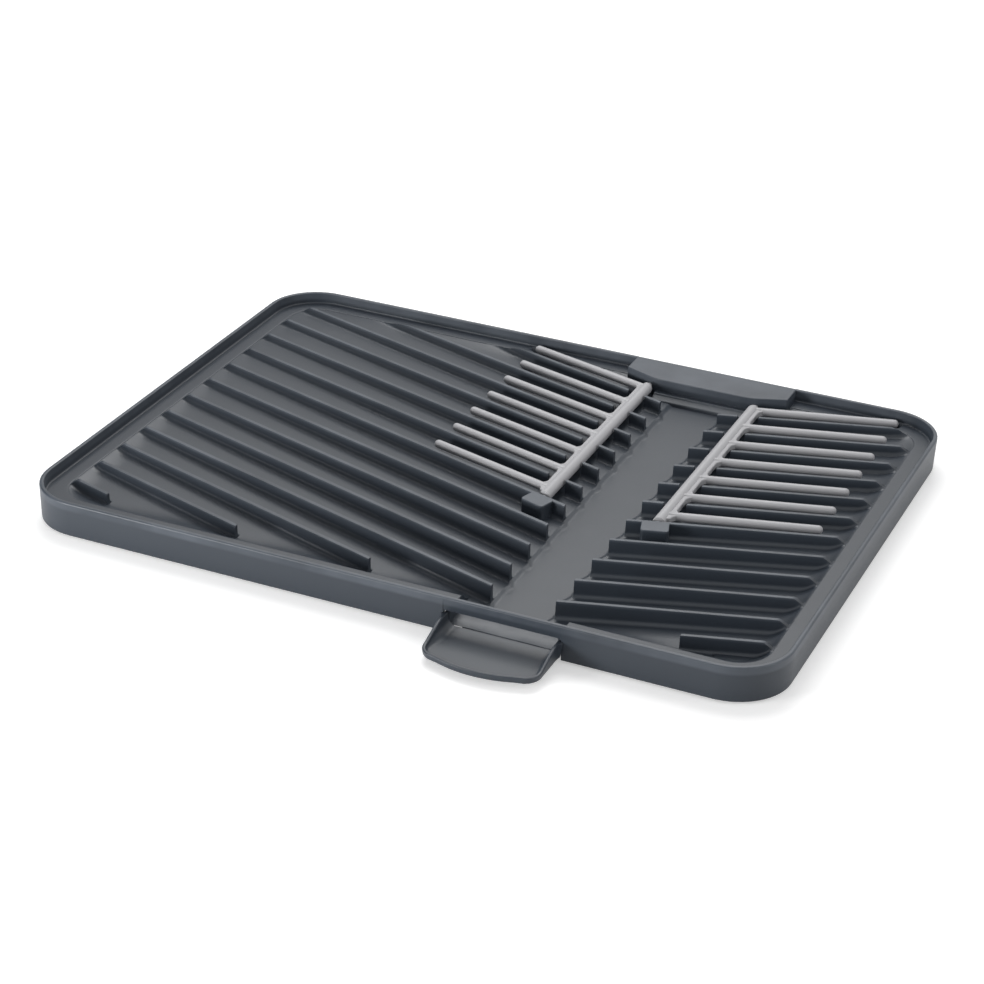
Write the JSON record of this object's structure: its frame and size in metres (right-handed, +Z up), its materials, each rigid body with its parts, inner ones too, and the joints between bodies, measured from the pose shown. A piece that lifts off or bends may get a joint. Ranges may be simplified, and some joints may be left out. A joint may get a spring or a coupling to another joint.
{
  "type": "drying rack",
  "caption": "Flat ribbed drying rack with two flip-up peg combs beside a sloping drain channel and a pouring spout under its front edge.",
  "frame": {"origin": "centre of the whole plan, spout included, on the surface that the feet stand on", "axes": "+X along the tray's long side, to the right of someone who faces the spout; +Y to the rear bridge; +Z up"},
  "size_m": [0.4, 0.333, 0.02],
  "materials": {
    "slate_plastic": "fine satin",
    "pale_plastic": "satin",
    "foot_rubber": "matt"
  },
  "bodies": {
    "base": {"tray": "slate_plastic", "rear_bridge": "slate_plastic", "spout": "slate_plastic", "foot_front_left": "foot_rubber", "foot_front_right": "foot_rubber", "foot_rear_left": "foot_rubber", "foot_rear_right": "foot_rubber"},
    "left_rack": {"left_comb": "pale_plastic"},
    "right_rack": {"right_comb": "pale_plastic"}
  },
  "joints": [
    {"name": "left_flip", "type": "hinge", "parent": "base", "child": "left_rack", "pos_m": [0.035, 0.0675, 0.0148], "axis": [0, 1, 0], "range_deg": [0, 90]},
    {"name": "right_flip", "type": "hinge", "parent": "base", "child": "right_rack", "pos_m": [0.097, 0.0675, 0.0148], "axis": [0, -1, 0], "range_deg": [0, 90]}
  ]
}
